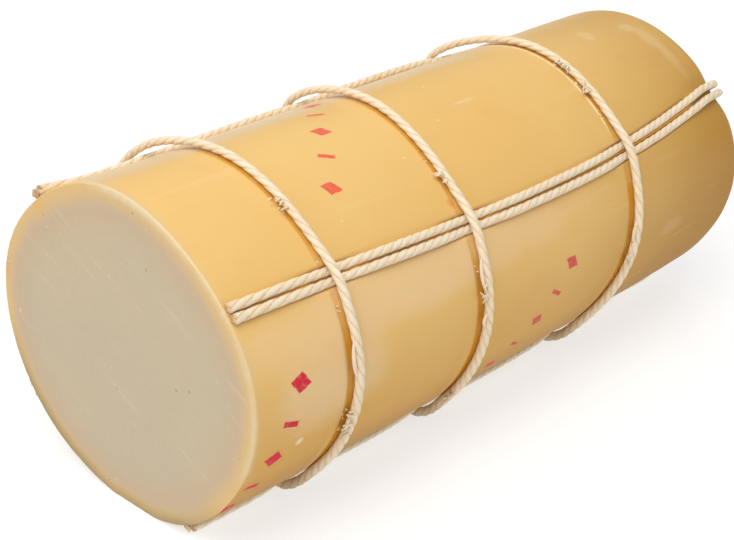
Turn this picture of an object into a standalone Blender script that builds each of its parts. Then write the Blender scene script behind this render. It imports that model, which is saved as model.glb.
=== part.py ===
# A cylindrical provolone dolce, cut at one end, rounded at the other and tied with twine.
#
# The cheese lies along X with its flat cut face at the low end. Angles run from straight up (+Z)
# towards the front side (-Y). A station is a distance from the cut face along the axis.

import math

import bmesh
import bpy
import numpy as np
from mathutils import Vector

# The cheese, in metres
LENGTH = 0.369              # cut face to the tip of the rounded end
RADIUS = 0.085              # mean radius of the body
AXIS_HEIGHT = 0.0802        # axis above the table, so the underside is pressed flat
OUT_OF_ROUND = (            # lobes of the section: count, share upwards, share towards the front
    (2, -0.045, 0.029),
    (3, 0.000, 0.004),
    (4, 0.008, -0.006),
    (5, 0.006, 0.004),
)
OVAL_TURN = 0.011           # added to the first lobe's share towards the front at the far end
SLIMMING = (0.016, 0.049)   # share of the radius lost towards the far end, even and growing
BOW = 0.003                 # the middle of the body bows this far towards the front
UNDERSIDE = 0.95            # height of the axis over the underside, as a share of the radius
SHOULDER = 0.347            # station where the far end starts to round over
END_POWERS = (2.3, 2.16)    # fullness of the rounded end
END_LEAN = 0.038            # the far end reaches further at the back than at the front
TOP_SWELL = (0.00125, 342.0, 28.0, 0.028)   # fuller at the top by the cut: height, angle, half angle, length
CUT_EDGE = 0.0008           # small worn bevel round the cut face

# The twine
ROPE = 0.0025               # radius of the twine in the hoops
PAIR_ROPE = 0.00215         # and of the lengthwise twine, which is pulled thinner
GAP = 0.0003                # clearance between touching pieces
SLACK = 0.0004              # further room for flat facets and for crossing twines

# Lengthwise twines, laid in pairs. Angles in degrees at the stations of PAIR_STATIONS
PAIR_STATIONS = (0.0, 0.058, 0.150, 0.254, 0.338)
PAIR_ANGLES = {
    "front": (56.2, 57.5, 60.0, 59.6, 53.3),
    "under": (152.5, 151.0, 149.5, 149.5, 153.5),
    "back": (238.0, 237.0, 238.5, 237.5, 234.3),
    "top": (317.5, 318.5, 319.5, 317.0, 306.0),
}
PAIR_SPREAD = (0.0024, 0.0029)  # half the distance between the two twines, at the cut and far end
PAIR_START = 0.002          # the cut ends stand this far back from the cut face
RISE_SIDE = 0.0015          # middle of a lengthwise twine over the bare cheese, along the body
RISE_TOP = (                # and of the top pair, which lies looser: station, height
    (0.002, 0.0029), (0.008, 0.0025), (0.016, 0.0016), (0.028, 0.0010), (0.045, 0.0011),
    (0.085, 0.0016), (0.120, 0.0019), (0.185, 0.0023), (0.235, 0.0026),
)
RISE_FAR = 0.0              # and where it bites in behind the last hoop
RISE_END = PAIR_ROPE + GAP + 2 * SLACK  # and over the rounded end, where it lies on top
FAR_CHANGE = (0.262, 0.290)     # stations between which the rise changes from the first to the second
END_CHANGE = (0.312, 0.342)     # and from the second to the third
DIP_REACH = 0.014           # how far along a twine is pressed in on each side of a hoop
PAIR_TROUGH = 0.0019        # width of the sloping side of the trough under a pair

# Hoops round the body: station, and how far the top, the front side, the underside and the part
# behind the top lie further along
HOOPS = (
    (0.0581, 0.0, -0.0006, 0.0, 0.0),
    (0.1507, -0.0015, -0.0096, 0.0, 0.0),
    (0.2532, 0.0113, 0.0017, 0.009, 0.009),
)
HOOP_UNDER = (165.0, 38.0)  # angle of the underside's shift, and half the angle that it takes
HOOP_BEHIND = (285.0, 28.0)     # the same for the shift behind the top
HOOP_RISE = 0.0019          # middle of a hoop over the bare cheese, away from the pairs
HOOP_LIFT = {               # further rise where it crosses a pair, and half the angle that takes
    "front": (0.0020, 8.0),
    "under": (0.0025, 11.0),
    "back": (0.0028, 12.0),
}
TOP_LIFT = (                # the same over the top pair, hoop by hoop: rise, half angle behind and before
    (0.0049, 26.0, 26.0),
    (0.0047, 10.0, 26.0),
    (0.0043, 8.0, 26.0),
)
GROOVE = 0.0014             # depth of the groove that shows beside a hoop, towards the cut face
LIP = 0.0003                # cheese raised beyond the groove
BESIDE_HOOP = (             # distance from the hoop; shares of the lip, the groove and the hoop's bed
    (-0.0074, 1.0, 0.0, 0.0),
    (-0.0056, 0.0, 0.15, 0.0),
    (-0.0044, 0.0, 1.0, 0.3),
    (-0.0030, 0.0, 1.0, 0.95),
    (0.0, 0.0, 0.5, 1.0),
    (0.0029, 0.0, 0.0, 0.95),
    (0.0038, 0.0, 0.0, 0.0),
    (0.0070, 0.0, 0.0, 0.0),
)

# The lengthwise twines press a notch into the far shoulder
NOTCH_DEPTH = 0.0028
NOTCH_ANGLE = 8.0
NOTCH_STATIONS = (0.318, 0.352, 0.360, 0.368)   # grows between the first two, fades at the last two

# The two pairs cross on the rounded end, the second over the first
CROSSING_FLAT = 0.0065
CROSSING_FALL = 0.030

# Fineness of the solids
PAIR_COLUMNS = (-8.6, -5.1, -3.5, -1.75, 1.75, 3.5, 5.1, 8.6)
COLUMNS_BETWEEN = 7
PLAIN_STATIONS = (0.010, 0.026, 0.042, 0.074, 0.090, 0.119, 0.135, 0.167, 0.183, 0.221,
                  0.237, 0.269, 0.288, 0.307, 0.325, 0.338)
TWINE_BY_HOOP = (-0.008, 0.0, 0.008)    # further points of a lengthwise twine beside each hoop
ROW_REACH = 0.008           # rows this near a hoop keep their distance to it all the way round
END_ROWS = 9
HOOP_POINTS = 72
END_POINTS = 17
FINE = 720                  # angles at which a hoop's route is worked out
FINE_END = 120              # stations at which the rounded end is looked up
PROBE = (1e-5, 1e-2)        # small steps along and round the rounded end, to find which way is out
SHARP = 35.0                # edges sharper than this many degrees stay crisp
STEEPEST = 0.2              # rays from the axis flatter than this never reach the table
FAR_AWAY = 1.0

# Base colour, roughness
CHEESE_FINISH = ((0.72, 0.45, 0.16), 0.42)
TWINE_FINISH = ((0.86, 0.72, 0.50), 0.80)

TURN = 2 * math.pi
PAIR_CURVES = {name: np.polyfit(PAIR_STATIONS, np.radians(angles), len(angles) - 1)
               for name, angles in PAIR_ANGLES.items()}


def clear_scene():
    for obj in list(bpy.data.objects):
        bpy.data.objects.remove(obj, do_unlink=True)


def smooth_step(low, high, value):
    share = np.clip((value - low) / (high - low), 0.0, 1.0)
    return share * share * (3 - 2 * share)


def angle_between(a, b):
    return (a - b + math.pi) % TURN - math.pi


def slim(station):
    share = station / LENGTH
    return 1 - SLIMMING[0] * share - SLIMMING[1] * share * share


def end_share(station):
    return np.clip((station - SHOULDER) / (LENGTH - SHOULDER), 0.0, 1.0)


def end_scale(share):
    power, root = END_POWERS
    return (1 - share ** power) ** (1 / root)


def axis_height(station):
    # The axis drops as the body slims, so the underside stays level.
    return AXIS_HEIGHT - UNDERSIDE * RADIUS * (1 - slim(min(station, SHOULDER)))


def place(station, angle, radius):
    bowed = min(station / SHOULDER, 1.0)
    y = -radius * math.sin(angle) - BOW * 4 * bowed * (1 - bowed)
    z = axis_height(station) + radius * math.cos(angle)
    x = station + END_LEAN * end_share(station) * y
    return Vector((x, y, z))


def pair_angle(name, station):
    return np.polyval(PAIR_CURVES[name], min(max(station, 0.0), PAIR_STATIONS[-1]))


def pair_spread(station):
    near, far = PAIR_SPREAD
    return near + (far - near) * smooth_step(PAIR_STATIONS[2], PAIR_STATIONS[-1], station)


def twine_angle(name, side, station):
    # One twine of a pair. The side is -1 or 1.
    return pair_angle(name, station) + side * pair_spread(station) / RADIUS


def notch(station, angle):
    grow_from, grow_to, fade_from, fade_to = NOTCH_STATIONS
    strength = smooth_step(grow_from, grow_to, station) * (1 - smooth_step(fade_from, fade_to, station))
    width = math.radians(NOTCH_ANGLE)
    shape = sum(math.exp(-(angle_between(angle, pair_angle(name, station)) / width) ** 2)
                for name in PAIR_ANGLES)
    return NOTCH_DEPTH * strength * shape


def top_swell(station, angle):
    height, middle, width, length = TOP_SWELL
    away = angle_between(angle, math.radians(middle)) / math.radians(width)
    return height * math.exp(-away * away) * math.exp(-(station / length) ** 2)


def bare_radius(station, angle):
    # The cheese as it would be with no twine troughs and no table under it.
    section = 1 + sum(up * math.cos(count * angle) + front * math.sin(count * angle)
                      for count, up, front in OUT_OF_ROUND)
    section += OVAL_TURN * min(station, SHOULDER) / LENGTH * math.sin(2 * angle)
    body = RADIUS * section * slim(min(station, SHOULDER)) * end_scale(end_share(station))
    return body + top_swell(station, angle) - notch(station, angle)


def table_limit(station, angle, clearance=0.0):
    # The radius at which a ray from the axis meets the table.
    down = -math.cos(angle)
    if down < STEEPEST:
        return FAR_AWAY
    return (axis_height(station) - clearance) / down


def hoop_station(hoop, angle):
    middle, top, front, *further = HOOPS[hoop]
    station = middle + top * math.cos(angle) + front * math.sin(angle)
    for shift, (place_angle, width) in zip(further, (HOOP_UNDER, HOOP_BEHIND)):
        away = angle_between(angle, math.radians(place_angle)) / math.radians(width)
        station += shift * math.exp(-away * away)
    return station


def top_lift(hoop, away):
    # Rise of a hoop this angle away from the top pair.
    lift, behind, before = TOP_LIFT[hoop]
    share = away / math.radians(behind if away < 0 else before)
    return lift * math.exp(-share * share)


def hoop_route(hoop):
    # Radius of a hoop's middle line all the way round. The table holds it up underneath.
    route = np.empty(FINE)
    for index in range(FINE):
        angle = TURN * index / FINE
        station = hoop_station(hoop, angle)
        radius = bare_radius(station, angle) + HOOP_RISE
        radius += top_lift(hoop, angle_between(angle, pair_angle("top", station)))
        for name, (lift, width) in HOOP_LIFT.items():
            away = angle_between(angle, pair_angle(name, station)) / math.radians(width)
            radius += lift * math.exp(-away * away)
        route[index] = min(radius, table_limit(station, angle, ROPE + GAP))
    return route


def across(route):
    # How much longer a distance square to the route is when it is measured along the radius.
    slope = (np.roll(route, -1) - np.roll(route, 1)) / (2 * TURN / FINE)
    return np.sqrt(1 + (slope / route) ** 2)


HOOP_ROUTES = [hoop_route(hoop) for hoop in range(len(HOOPS))]
HOOP_STRETCH = [across(route) for route in HOOP_ROUTES]


def hoop_radius(hoop, angle, inward=0.0):
    route = HOOP_ROUTES[hoop] - inward * HOOP_STRETCH[hoop]
    return np.interp(angle % TURN, np.arange(FINE) * TURN / FINE, route, period=TURN)


def side_rise(name, station):
    # Height over the bare cheese at which a lengthwise twine lies where no hoop crosses it.
    if name == "top":
        return np.interp(station, *zip(*RISE_TOP))
    return RISE_SIDE


def hoop_dips(name, side):
    # Where a hoop presses this twine into the cheese, and how deep.
    dips = []
    for hoop, (middle, *_) in enumerate(HOOPS):
        angle = twine_angle(name, side, middle)
        crossing = hoop_station(hoop, angle)
        inward = ROPE + PAIR_ROPE + GAP + SLACK
        room = hoop_radius(hoop, angle, inward) - bare_radius(crossing, angle)
        dips.append((crossing, max(0.0, side_rise(name, crossing) - room)))
    return dips


TWINE_DIPS = {(name, side): hoop_dips(name, side) for name in PAIR_ANGLES for side in (-1, 1)}


def twine_rise(name, side, station):
    # Height of a lengthwise twine's middle line over the bare cheese.
    rise = side_rise(name, station)
    rise += (RISE_FAR - rise) * smooth_step(*FAR_CHANGE, station)
    rise += (RISE_END - RISE_FAR) * smooth_step(*END_CHANGE, station)
    for crossing, dip in TWINE_DIPS[name, side]:
        rise -= dip * math.exp(-((station - crossing) / DIP_REACH) ** 2)
    return rise


def beside_hoop(distance):
    distances, *shares = zip(*BESIDE_HOOP)
    if not distances[0] < distance < distances[-1]:
        return 0.0, 0.0, 0.0
    return [np.interp(distance, distances, share) for share in shares]


def cheese_radius(station, angle):
    free = bare_radius(station, angle)
    bare = min(free, table_limit(station, angle))
    depth = 0.0
    lip = 0.0
    for name, side in TWINE_DIPS:
        offset = abs(angle_between(angle, twine_angle(name, side, station))) * bare
        if offset < PAIR_ROPE + PAIR_TROUGH:
            floor = free + twine_rise(name, side, station) - PAIR_ROPE - GAP - SLACK
            share = 1 - smooth_step(PAIR_ROPE, PAIR_ROPE + PAIR_TROUGH, offset)
            depth = max(depth, (bare - floor) * share)
    for hoop in range(len(HOOPS)):
        lip_share, groove_share, bed_share = beside_hoop(station - hoop_station(hoop, angle))
        floor = hoop_radius(hoop, angle, ROPE + GAP + SLACK)
        depth = max(depth, GROOVE * groove_share, (bare - floor) * bed_share)
        lip = max(lip, LIP * lip_share)
    return min(bare - depth + lip, table_limit(station, angle))


def column_angles(station):
    # Columns of the cheese follow the pairs, and are even in between.
    names = list(PAIR_ANGLES)
    angles = []
    for index, name in enumerate(names):
        here = pair_angle(name, station)
        following = pair_angle(names[(index + 1) % len(names)], station)
        gap = (following - here) % TURN
        columns = [math.radians(column) for column in PAIR_COLUMNS]
        angles += [here + column for column in columns]
        first, last = columns[-1], gap + columns[0]
        for step in range(1, COLUMNS_BETWEEN + 1):
            angles.append(here + first + (last - first) * step / (COLUMNS_BETWEEN + 1))
    return angles


def row_stations():
    stations = [CUT_EDGE] + list(PLAIN_STATIONS) + [SHOULDER]
    for middle, *_ in HOOPS:
        stations += [middle + distance for distance, *_ in BESIDE_HOOP]
    ends = [SHOULDER + (LENGTH - SHOULDER) * math.sin(math.pi / 2 * step / END_ROWS)
            for step in range(1, END_ROWS)]
    return sorted(stations) + ends


def follow_hoops(station, angle):
    # Rows near a hoop lean with it, so the groove runs along a row.
    marks, shifts = [0.0], [0.0]
    for hoop, (middle, *_) in enumerate(HOOPS):
        marks += [middle - ROW_REACH, middle + ROW_REACH]
        shifts += [hoop_station(hoop, angle) - middle] * 2
    return station + np.interp(station, marks + [SHOULDER], shifts + [0.0])


def make_cheese(collection):
    mesh = bmesh.new()
    rows = []
    for station in row_stations():
        row = []
        for column, angle in enumerate(column_angles(station)):
            here = follow_hoops(station, angle)
            angle = column_angles(here)[column]
            row.append(mesh.verts.new(place(here, angle, cheese_radius(here, angle))))
        rows.append(row)
    face_rim = []
    for angle in column_angles(0.0):
        face_rim.append(mesh.verts.new(place(0.0, angle, cheese_radius(CUT_EDGE, angle) - CUT_EDGE)))
    rows.insert(0, face_rim)
    for near, far in zip(rows, rows[1:]):
        for index in range(len(near)):
            following = (index + 1) % len(near)
            mesh.faces.new((near[index], near[following], far[following], far[index]))
    face_centre = mesh.verts.new(place(0.0, 0.0, 0.0))
    tip = mesh.verts.new(place(LENGTH, 0.0, 0.0))
    for rim, centre in ((rows[0], face_centre), (rows[-1], tip)):
        for index in range(len(rim)):
            mesh.faces.new((rim[index], rim[(index + 1) % len(rim)], centre))
    bmesh.ops.triangulate(mesh, faces=[face for face in mesh.faces if len(face.verts) > 3])
    bmesh.ops.recalc_face_normals(mesh, faces=mesh.faces)
    data = bpy.data.meshes.new("cheese")
    mesh.to_mesh(data)
    mesh.free()
    data.shade_smooth()
    data.set_sharp_from_angle(angle=math.radians(SHARP))
    cheese = bpy.data.objects.new("cheese", data)
    collection.objects.link(cheese)
    return cheese


def make_twine(name, points, radius, closed, collection):
    curve = bpy.data.curves.new(name, "CURVE")
    curve.dimensions = "3D"
    curve.bevel_depth = radius
    curve.bevel_resolution = 2
    curve.use_fill_caps = not closed
    spline = curve.splines.new("POLY")
    spline.points.add(len(points) - 1)
    for point, position in zip(spline.points, points):
        point.co = (*position, 1.0)
    spline.use_cyclic_u = closed
    twine = bpy.data.objects.new(name, curve)
    collection.objects.link(twine)
    return twine


def hoop_points(hoop):
    angles = [TURN * index / HOOP_POINTS for index in range(HOOP_POINTS)]
    return [place(hoop_station(hoop, angle), angle, hoop_radius(hoop, angle)) for angle in angles]


def side_points(name, side):
    # One twine of a pair along the body, from its cut end to the shoulder.
    stations = [PAIR_START] + list(PLAIN_STATIONS)
    for middle, *_ in HOOPS:
        stations += [middle + distance for distance in TWINE_BY_HOOP]
    points = []
    for row in sorted(stations):
        station = follow_hoops(row, twine_angle(name, side, row))
        angle = twine_angle(name, side, station)
        radius = bare_radius(station, angle) + twine_rise(name, side, station)
        points.append(place(station, angle, radius))
    return points


def on_rounded_end(y, z):
    # The point of the bare rounded end at this place, and the way straight out of it.
    height = z - axis_height(LENGTH)
    angle = math.atan2(-y, height)
    stations = SHOULDER + (LENGTH - SHOULDER) * np.sin(np.linspace(0, math.pi / 2, FINE_END))
    radii = np.array([bare_radius(station, angle) for station in stations])
    station = float(np.interp(-math.hypot(y, height), -radii, stations))
    near, wide = PROBE
    station = min(station, LENGTH - near)
    here = place(station, angle, bare_radius(station, angle))
    along = place(station - near, angle, bare_radius(station - near, angle)) - here
    around = place(station, angle + wide, bare_radius(station, angle + wide)) - here
    outward = around.cross(along).normalized()
    if outward.x < 0:
        outward = -outward
    return here, outward


def end_points(first, second, side, over=None):
    # One twine across the rounded end, straight between the shoulders as seen along the axis.
    # over is the line of the pair that it crosses on top of.
    start, finish = end_line(first, second)
    line = (finish - start).normalized()
    sideways = Vector((line.y, -line.x)) * side * PAIR_SPREAD[1]
    middle = (start + finish) / 2
    half = (finish - start).length / 2
    points = []
    for step in range(1, END_POINTS):
        turn = math.pi * step / END_POINTS
        share = math.copysign(end_scale(math.sin(turn)), turn - math.pi / 2)
        flat = middle + line * half * share + sideways
        here, outward = on_rounded_end(flat.x, flat.y)
        rise = RISE_END
        if over:
            distance = abs(line_distance(flat, over))
            share = 1 - smooth_step(CROSSING_FLAT, CROSSING_FLAT + CROSSING_FALL, distance)
            rise += (2 * PAIR_ROPE + GAP + SLACK) * share
        points.append(here + outward * rise)
    return points


def end_line(first, second):
    # Where two pairs meet the shoulder, as (y, z).
    ends = []
    for name in (first, second):
        angle = pair_angle(name, SHOULDER)
        point = place(SHOULDER, angle, bare_radius(SHOULDER, angle))
        ends.append(Vector((point.y, point.z)))
    return ends


def line_distance(point, line):
    start, finish = line
    direction = (finish - start).normalized()
    away = point - start
    return away.x * direction.y - away.y * direction.x


def lengthwise_points(first, second, side, over=None):
    out = side_points(first, side)
    back = side_points(second, -side)
    return out + end_points(first, second, side, over) + back[::-1]


def finish(obj, colour, roughness):
    material = bpy.data.materials.new(obj.name)
    material.use_nodes = True
    shader = material.node_tree.nodes["Principled BSDF"]
    shader.inputs["Base Color"].default_value = (*colour, 1.0)
    shader.inputs["Roughness"].default_value = roughness
    shader.inputs["Metallic"].default_value = 0.0
    obj.data.materials.append(material)


def centre_on_origin(objects):
    # The origin goes to the middle of the bounding box, at the height of the table.
    depsgraph = bpy.context.evaluated_depsgraph_get()
    corners = []
    for obj in objects:
        shape = obj.evaluated_get(depsgraph).to_mesh()
        corners += [vertex.co.copy() for vertex in shape.vertices]
        obj.evaluated_get(depsgraph).to_mesh_clear()
    lows = [min(corner[axis] for corner in corners) for axis in range(3)]
    highs = [max(corner[axis] for corner in corners) for axis in range(3)]
    shift = Vector((-(lows[0] + highs[0]) / 2, -(lows[1] + highs[1]) / 2, -lows[2]))
    for obj in objects:
        obj.location = shift
    bpy.context.view_layer.update()


def main():
    clear_scene()
    collection = bpy.data.collections.new("provolone_dolce")
    bpy.context.scene.collection.children.link(collection)
    cheese = make_cheese(collection)
    finish(cheese, *CHEESE_FINISH)
    twines = [make_twine("twine_hoop_%d" % (hoop + 1), hoop_points(hoop), ROPE, True, collection)
              for hoop in range(len(HOOPS))]
    crossed = end_line("front", "back")
    for number, side in ((1, -1), (2, 1)):
        for label, points in (("front_back", lengthwise_points("front", "back", side)),
                              ("top_under", lengthwise_points("top", "under", side, crossed))):
            twines.append(make_twine("twine_%s_%d" % (label, number), points, PAIR_ROPE, False, collection))
    for twine in twines:
        finish(twine, *TWINE_FINISH)
    bpy.context.view_layer.update()
    centre_on_origin([cheese] + twines)


main()
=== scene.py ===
import itertools
import math

import bpy
import numpy as np
from mathutils import Matrix, Vector, noise


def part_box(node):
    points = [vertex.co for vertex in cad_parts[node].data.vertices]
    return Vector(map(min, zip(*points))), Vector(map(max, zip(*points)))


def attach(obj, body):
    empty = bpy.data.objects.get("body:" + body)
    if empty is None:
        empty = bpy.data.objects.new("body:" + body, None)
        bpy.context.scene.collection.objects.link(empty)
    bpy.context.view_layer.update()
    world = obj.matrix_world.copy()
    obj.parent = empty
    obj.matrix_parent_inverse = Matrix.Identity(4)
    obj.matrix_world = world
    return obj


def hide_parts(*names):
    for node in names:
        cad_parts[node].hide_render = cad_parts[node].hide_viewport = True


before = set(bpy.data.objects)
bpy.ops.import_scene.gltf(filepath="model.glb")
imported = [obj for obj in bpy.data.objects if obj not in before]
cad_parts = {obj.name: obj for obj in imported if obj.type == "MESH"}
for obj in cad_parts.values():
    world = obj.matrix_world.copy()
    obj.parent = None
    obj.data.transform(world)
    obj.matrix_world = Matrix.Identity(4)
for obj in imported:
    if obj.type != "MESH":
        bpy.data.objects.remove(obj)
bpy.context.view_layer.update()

# A cylindrical provolone dolce on its side, cut at one end and tied with twine.
# A station is a distance from the cut face. Angles run from straight up towards the front (-Y).
fullTurn = 2 * math.pi

body = {
    "length": 0.369, "radius": 0.085, "axisHeight": 0.0802,
    "lobes": ((2, -0.045, 0.029), (3, 0.0, 0.004), (4, 0.008, -0.006), (5, 0.006, 0.004)),
    "ovalTurn": 0.011, "slimming": (0.016, 0.049), "bow": 0.003, "underside": 0.95,
    "shoulder": 0.347, "endPowers": (2.3, 2.16), "endLean": 0.038,
    "notchDepth": 0.0028, "notchAngle": 8.0, "notchStations": (0.318, 0.352, 0.360, 0.368),
    "swell": (0.00125, 342.0, 28.0, 0.028),     # at the top by the cut: height, angle, half angle, length
}

twine = {
    "hoop": 0.0025, "pair": 0.00215, "gap": 0.0003, "slack": 0.0004,
    "stations": (0.0, 0.058, 0.150, 0.254, 0.338),
    "angles": {
        "front": (56.2, 57.5, 60.0, 59.6, 53.3),
        "under": (152.5, 151.0, 149.5, 149.5, 153.5),
        "back": (238.0, 237.0, 238.5, 237.5, 234.3),
        "top": (317.5, 318.5, 319.5, 317.0, 306.0),
    },
    "spread": (0.0024, 0.0029), "start": 0.002,
    "riseSide": 0.0015, "riseFar": 0.0, "riseEnd": 0.00325,
    "riseTop": ((0.002, 0.0029), (0.008, 0.0025), (0.016, 0.0016), (0.028, 0.0010), (0.045, 0.0011),
                (0.085, 0.0016), (0.120, 0.0019), (0.185, 0.0023), (0.235, 0.0026)),
    "farChange": (0.262, 0.290), "endChange": (0.312, 0.342), "dipReach": 0.014,
    "points": (0.010, 0.026, 0.042, 0.074, 0.090, 0.119, 0.135, 0.167, 0.183, 0.221,
               0.237, 0.269, 0.288, 0.307, 0.325, 0.338),
    "besideHoop": (-0.008, 0.0, 0.008), "rowReach": 0.008,
    "crossingFlat": 0.0065, "crossingFall": 0.030, "endPoints": 17,
}

hoops = {
    "places": ((0.0581, 0.0, -0.0006, 0.0, 0.0), (0.1507, -0.0015, -0.0096, 0.0, 0.0),
               (0.2532, 0.0113, 0.0017, 0.009, 0.009)),     # station; shifts at top, front, under and behind
    "under": (165.0, 38.0), "behind": (285.0, 28.0), "rise": 0.0019,
    "lift": {"front": (0.0020, 8.0), "under": (0.0025, 11.0), "back": (0.0028, 12.0)},
    "topLift": ((0.0049, 26.0, 26.0), (0.0047, 10.0, 26.0), (0.0043, 8.0, 26.0)),
    "points": 144, "fine": 720,
}

hoopMiddles = [middle for middle, *_ in hoops["places"]]
pairCurves = {name: np.polyfit(twine["stations"], np.radians(angles), len(angles) - 1)
              for name, angles in twine["angles"].items()}


def smoothStep(low, high, value):
    share = np.clip((value - low) / (high - low), 0.0, 1.0)
    return share * share * (3 - 2 * share)


def bell(distance, width):
    # 1 in the middle, falling away smoothly to both sides
    return np.exp(-(distance / width) ** 2)


def unit(vectors):
    return vectors / np.maximum(np.linalg.norm(vectors, axis=-1, keepdims=True), 1e-12)


def angleBetween(a, b):
    return (a - b + math.pi) % fullTurn - math.pi


def slim(station):
    share = station / body["length"]
    return 1 - body["slimming"][0] * share - body["slimming"][1] * share * share


def endShare(station):
    return np.clip((station - body["shoulder"]) / (body["length"] - body["shoulder"]), 0.0, 1.0)


def endScale(share):
    power, root = body["endPowers"]
    return (1 - share ** power) ** (1 / root)


def axisHeight(station):
    narrowed = 1 - slim(np.minimum(station, body["shoulder"]))
    return body["axisHeight"] - body["underside"] * body["radius"] * narrowed


def place(station, angle, radius):
    bowed = np.minimum(station / body["shoulder"], 1.0)
    y = -radius * np.sin(angle) - body["bow"] * 4 * bowed * (1 - bowed)
    z = axisHeight(station) + radius * np.cos(angle)
    x = station + body["endLean"] * endShare(station) * y
    return np.stack(np.broadcast_arrays(x, y, z), -1)


def pairAngle(name, station):
    return np.polyval(pairCurves[name], np.clip(station, 0.0, twine["stations"][-1]))


def twineAngle(name, side, station):
    near, far = twine["spread"]
    spread = near + (far - near) * smoothStep(twine["stations"][2], twine["stations"][-1], station)
    return pairAngle(name, station) + side * spread / body["radius"]


def notch(station, angle):
    growFrom, growTo, fadeFrom, fadeTo = body["notchStations"]
    strength = smoothStep(growFrom, growTo, station) * (1 - smoothStep(fadeFrom, fadeTo, station))
    width = math.radians(body["notchAngle"])
    shape = sum(bell(angleBetween(angle, pairAngle(name, station)), width) for name in pairCurves)
    return body["notchDepth"] * strength * shape


def topSwell(station, angle):
    height, middle, width, length = body["swell"]
    around = bell(angleBetween(angle, math.radians(middle)), math.radians(width))
    return height * around * bell(station, length)


def bareRadius(station, angle):
    section = 1 + sum(up * np.cos(count * angle) + front * np.sin(count * angle)
                      for count, up, front in body["lobes"])
    onBody = np.minimum(station, body["shoulder"])
    section = section + body["ovalTurn"] * onBody / body["length"] * np.sin(2 * angle)
    radius = body["radius"] * section * slim(onBody) * endScale(endShare(station))
    return radius + topSwell(station, angle) - notch(station, angle)


def surfacePoint(station, angle):
    return place(station, angle, bareRadius(station, angle))


def tableLimit(station, angle, clearance=0.0):
    down = -np.cos(angle)
    return np.where(down < 0.2, 1.0, (axisHeight(station) - clearance) / np.maximum(down, 0.2))


def hoopStation(hoop, angle):
    middle, top, front, *further = hoops["places"][hoop]
    station = middle + top * np.cos(angle) + front * np.sin(angle)
    for moved, around in zip(further, (hoops["under"], hoops["behind"])):
        centre, width = np.radians(around)
        station = station + moved * bell(angleBetween(angle, centre), width)
    return station


def topLift(hoop, away):
    # Rise of a hoop this angle away from the top pair
    lift, behind, before = hoops["topLift"][hoop]
    return lift * bell(away, np.radians(np.where(away < 0, behind, before)))


fineAngles = np.arange(hoops["fine"]) * fullTurn / hoops["fine"]
hoopRoutes, hoopStretch = [], []
for hoop in range(3):
    stations = hoopStation(hoop, fineAngles)
    fromPair = {name: angleBetween(fineAngles, pairAngle(name, stations)) for name in pairCurves}
    route = bareRadius(stations, fineAngles) + hoops["rise"] + topLift(hoop, fromPair["top"])
    for name, (lift, width) in hoops["lift"].items():
        route = route + lift * bell(fromPair[name], math.radians(width))
    route = np.minimum(route, tableLimit(stations, fineAngles, twine["hoop"] + twine["gap"]))
    slope = (np.roll(route, -1) - np.roll(route, 1)) / (2 * fullTurn / hoops["fine"])
    hoopRoutes.append(route)
    hoopStretch.append(np.sqrt(1 + (slope / route) ** 2))


def hoopRadius(hoop, angle, inward=0.0):
    route = hoopRoutes[hoop] - inward * hoopStretch[hoop]
    return np.interp(angle % fullTurn, fineAngles, route, period=fullTurn)


def sideRise(name, station):
    # Height over the bare cheese at which a lengthwise twine lies where no hoop crosses it
    if name == "top":
        return np.interp(station, *zip(*twine["riseTop"]))
    return twine["riseSide"]


def hoopDips(name, side):
    # Where the hoops press a lengthwise twine down, and how far
    dips = []
    for hoop, middle in enumerate(hoopMiddles):
        angle = twineAngle(name, side, middle)
        crossing = hoopStation(hoop, angle)
        inward = twine["hoop"] + twine["pair"] + twine["gap"] + twine["slack"]
        room = hoopRadius(hoop, angle, inward) - bareRadius(crossing, angle)
        dips.append((crossing, max(0.0, sideRise(name, crossing) - room)))
    return dips


twineDips = {(name, side): hoopDips(name, side) for name in pairCurves for side in (-1, 1)}


def twineRise(name, side, station):
    rise = sideRise(name, station)
    rise = rise + (twine["riseFar"] - rise) * smoothStep(*twine["farChange"], station)
    rise = rise + (twine["riseEnd"] - twine["riseFar"]) * smoothStep(*twine["endChange"], station)
    for crossing, dip in twineDips[name, side]:
        rise = rise - dip * bell(station - crossing, twine["dipReach"])
    return rise


# The routes of the twines
def followHoops(station, angle, reach):
    # A station, moved along the body as far as the nearest hoops lean there
    marks, shifts = [0.0], [0.0]
    for hoop, middle in enumerate(hoopMiddles):
        marks += [middle - reach, middle + reach]
        shifts += [hoopStation(hoop, angle) - middle] * 2
    marks, shifts = marks + [body["shoulder"]], shifts + [0.0]
    spot = np.clip(np.searchsorted(marks, station) - 1, 0, len(marks) - 2)
    share = np.clip((station - marks[spot]) / (marks[spot + 1] - marks[spot]), 0, 1)
    return station + shifts[spot] * (1 - share) + shifts[spot + 1] * share


def sidePoints(name, side):
    stations = [twine["start"], *twine["points"]]
    stations += [middle + distance for middle in hoopMiddles for distance in twine["besideHoop"]]
    points = []
    for row in sorted(stations):
        station = followHoops(row, twineAngle(name, side, row), twine["rowReach"])
        angle = twineAngle(name, side, station)
        points.append(place(station, angle, bareRadius(station, angle) + twineRise(name, side, station)))
    return points


def onRoundedEnd(y, z):
    # The point of the rounded end at this y and z, and the direction straight out of it
    height = z - axisHeight(body["length"])
    angle = math.atan2(-y, height)
    turns = np.sin(np.linspace(0, math.pi / 2, 120))
    stations = body["shoulder"] + (body["length"] - body["shoulder"]) * turns
    radii = bareRadius(stations, angle)
    station = min(float(np.interp(-math.hypot(y, height), -radii, stations)), body["length"] - 1e-5)
    here = surfacePoint(station, angle)
    around = surfacePoint(station, angle + 1e-2) - here
    along = surfacePoint(station - 1e-5, angle) - here
    outward = unit(np.cross(around, along))
    return here, outward if outward[0] > 0 else -outward


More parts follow.
